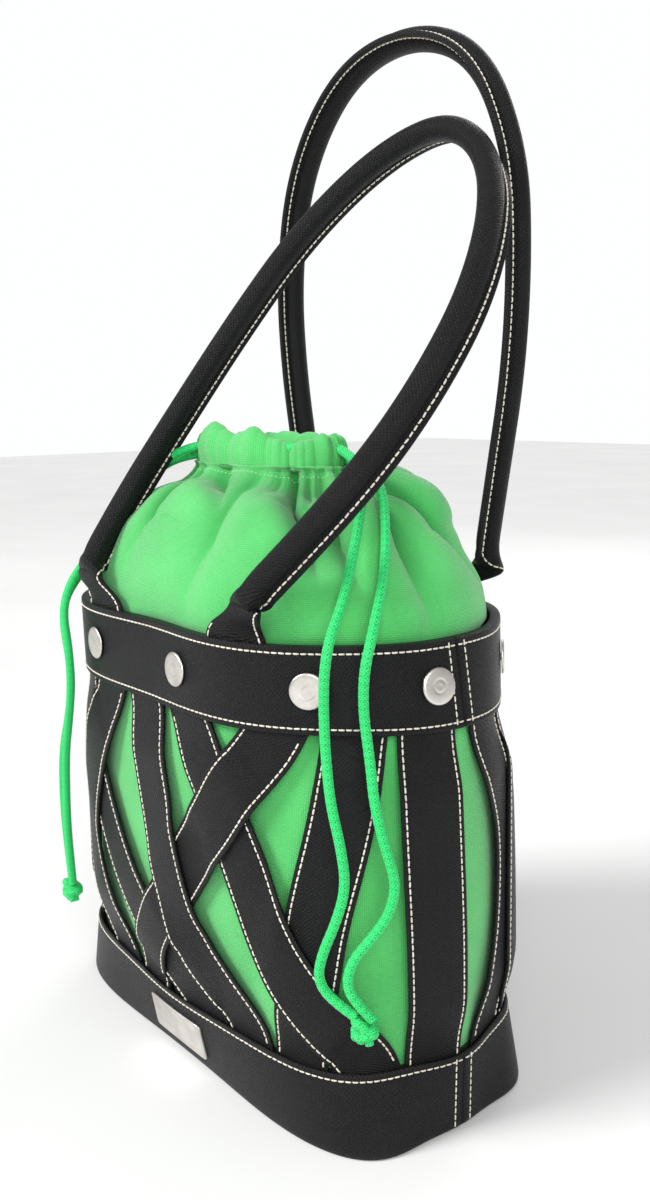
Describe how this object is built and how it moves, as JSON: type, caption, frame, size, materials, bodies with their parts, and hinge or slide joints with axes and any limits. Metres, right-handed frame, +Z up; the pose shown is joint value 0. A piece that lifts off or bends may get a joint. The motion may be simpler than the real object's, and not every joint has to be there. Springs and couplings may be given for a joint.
{
  "type": "caged drawstring tote bag",
  "caption": "Drawstring tote bag: a cage of woven black leather straps between two bands, a green canvas liner snapped inside it and two tubular handles.",
  "frame": {"origin": "middle of the base, on the surface the bag stands on", "axes": "+X towards the right side seam seen from the front, -Y towards the front with the nameplate, +Z up"},
  "size_m": [0.274, 0.1694, 0.5145],
  "materials": {
    "strap_leather": "fine cross-hatch grain, semi-gloss",
    "facing_leather": "smooth, matte",
    "liner_canvas": "plain weave canvas, matte",
    "drawcord": "braided cord, soft sheen",
    "snap_metal": "satin nickel",
    "stiffener": "plain fibre board",
    "handle_core": "plain cotton rope filler"
  },
  "bodies": {
    "bag": {"base_band_facing": "facing_leather", "base_band_front": "strap_leather", "base_band_rear": "strap_leather", "base_board": "stiffener", "base_panel": "strap_leather", "casing": "liner_canvas", "drawcord_in_casing_lower": "drawcord", "drawcord_in_casing_upper": "drawcord", "drawcord_left_inner": "drawcord", "drawcord_left_outer": "drawcord", "drawcord_right_inner": "drawcord", "drawcord_right_outer": "drawcord", "front_handle_foot_left": "strap_leather", "front_handle_foot_right": "strap_leather", "front_strap_1": "strap_leather", "front_strap_2": "strap_leather", "front_strap_3": "strap_leather", "front_strap_4": "strap_leather", "front_strap_5": "strap_leather", "front_strap_6": "strap_leather", "front_strap_7": "strap_leather", "front_strap_8": "strap_leather", "front_strap_9": "strap_leather", "knot_left": "drawcord", "knot_right": "drawcord", "liner_body": "liner_canvas", "liner_bottom": "liner_canvas", "liner_top": "liner_canvas", "nameplate": "snap_metal", "rear_handle_foot_left": "strap_leather", "rear_handle_foot_right": "strap_leather", "rear_strap_1": "strap_leather", "rear_strap_2": "strap_leather", "rear_strap_3": "strap_leather", "rear_strap_4": "strap_leather", "rear_strap_5": "strap_leather", "rear_strap_6": "strap_leather", "rear_strap_7": "strap_leather", "rear_strap_8": "strap_leather", "rear_strap_9": "strap_leather", "snap_caps": "snap_metal", "snap_posts": "snap_metal", "snap_sockets": "snap_metal", "snap_studs": "snap_metal", "top_band_facing_front": "facing_leather", "top_band_facing_rear": "facing_leather", "top_band_front": "strap_leather", "top_band_rear": "strap_leather"},
    "front_handle": {"front_handle_cover": "strap_leather", "front_handle_core": "handle_core"},
    "rear_handle": {"rear_handle_cover": "strap_leather", "rear_handle_core": "handle_core"}
  },
  "joints": [
    {"name": "front_handle_fold", "type": "hinge", "parent": "bag", "child": "front_handle", "pos_m": [0.0085, -0.078, 0.248], "axis": [1, 0, 0], "range_deg": [0, 160]},
    {"name": "rear_handle_fold", "type": "hinge", "parent": "bag", "child": "rear_handle", "pos_m": [0.001, 0.078, 0.248], "axis": [-1, 0, 0], "range_deg": [0, 130]}
  ]
}
